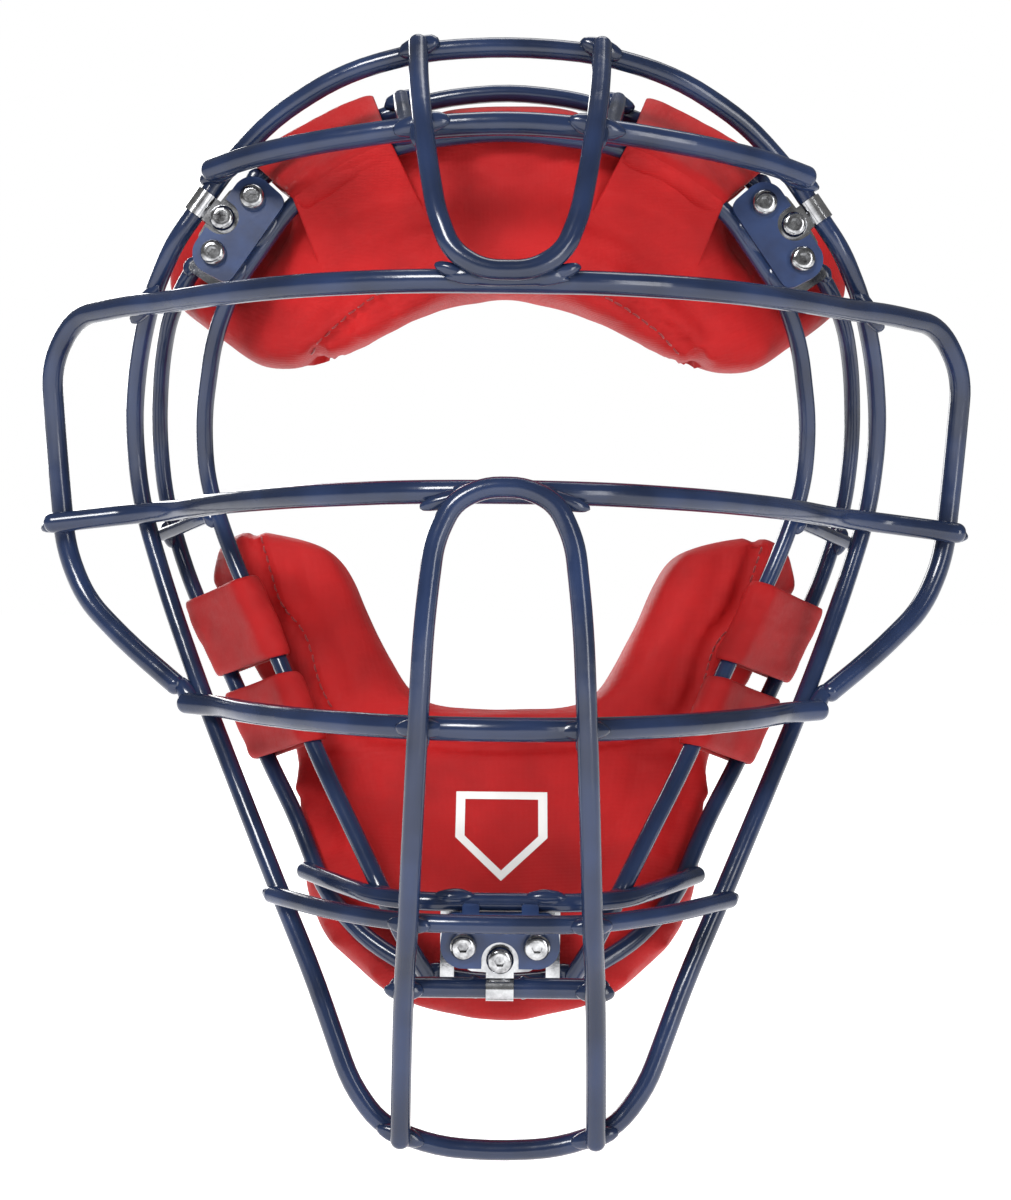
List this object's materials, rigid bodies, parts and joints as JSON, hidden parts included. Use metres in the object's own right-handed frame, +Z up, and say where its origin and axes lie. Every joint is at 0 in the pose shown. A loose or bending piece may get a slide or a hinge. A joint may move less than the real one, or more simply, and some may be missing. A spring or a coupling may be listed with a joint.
{
  "type": "catcher's mask",
  "caption": "Catcher's mask with a bent-wire outer cage sprung on a padded inner wire cage by sliding clips, red forehead and chin pads, fabric straps and side ear guards.",
  "frame": {"origin": "the point between the wearer's temples at eye height, on the symmetry plane, level with the rearmost part of the inner wire ring", "axes": "+Z up the wearer's face, -Y out of the front of the mask, +X to the wearer's left; the two sides mirror each other across X = 0"},
  "size_m": [0.2752, 0.1246, 0.2969],
  "materials": {
    "navy_coat": "gloss",
    "chrome_plate": "polished",
    "screw_chrome": "polished",
    "spring_steel": "satin",
    "red_padding": "matt",
    "red_webbing": "matt"
  },
  "bodies": {
    "inner_cage": {"inner_front_ring": "navy_coat", "inner_rear_ring": "navy_coat", "inner_chin_bar": "navy_coat", "side_tie_left": "navy_coat", "side_tie_right": "navy_coat", "top_tie_left": "navy_coat", "top_tie_right": "navy_coat", "front_plate_left": "navy_coat", "front_plate_right": "navy_coat", "front_plate_chin": "navy_coat", "rear_bracket_left": "chrome_plate", "rear_bracket_right": "chrome_plate", "rear_bracket_chin": "chrome_plate", "guide_screws": "screw_chrome", "guide_nuts": "screw_chrome", "springs_left": "spring_steel", "springs_right": "spring_steel", "springs_chin": "spring_steel", "forehead_pad": "red_padding", "chin_pad": "red_padding", "brow_strap_left": "red_webbing", "brow_strap_right": "red_webbing", "cheek_strap_upper_left": "red_webbing", "cheek_strap_upper_right": "red_webbing", "cheek_strap_lower_left": "red_webbing", "cheek_strap_lower_right": "red_webbing"},
    "outer_cage": {"outer_ring": "navy_coat", "top_loop": "navy_coat", "brow_bar": "navy_coat", "upper_eye_bar": "navy_coat", "lower_eye_bar": "navy_coat", "nose_loop": "navy_coat", "mouth_bar": "navy_coat", "chin_bar": "navy_coat", "clip_bar": "navy_coat", "carriage_left": "chrome_plate", "carriage_right": "chrome_plate", "carriage_chin": "chrome_plate", "clip_band_left": "chrome_plate", "clip_band_right": "chrome_plate", "clip_band_chin": "chrome_plate", "clamp_screws": "screw_chrome", "clamp_nuts": "screw_chrome"}
  },
  "joints": [
    {"name": "outer_cage_slide", "type": "slide", "parent": "inner_cage", "child": "outer_cage", "axis": [0, 1, 0], "range_m": [0, 0.0045], "stiffness_N_per_m": 8000, "springref_m": -0.004, "deforming": ["springs_left", "springs_right", "springs_chin"]}
  ]
}
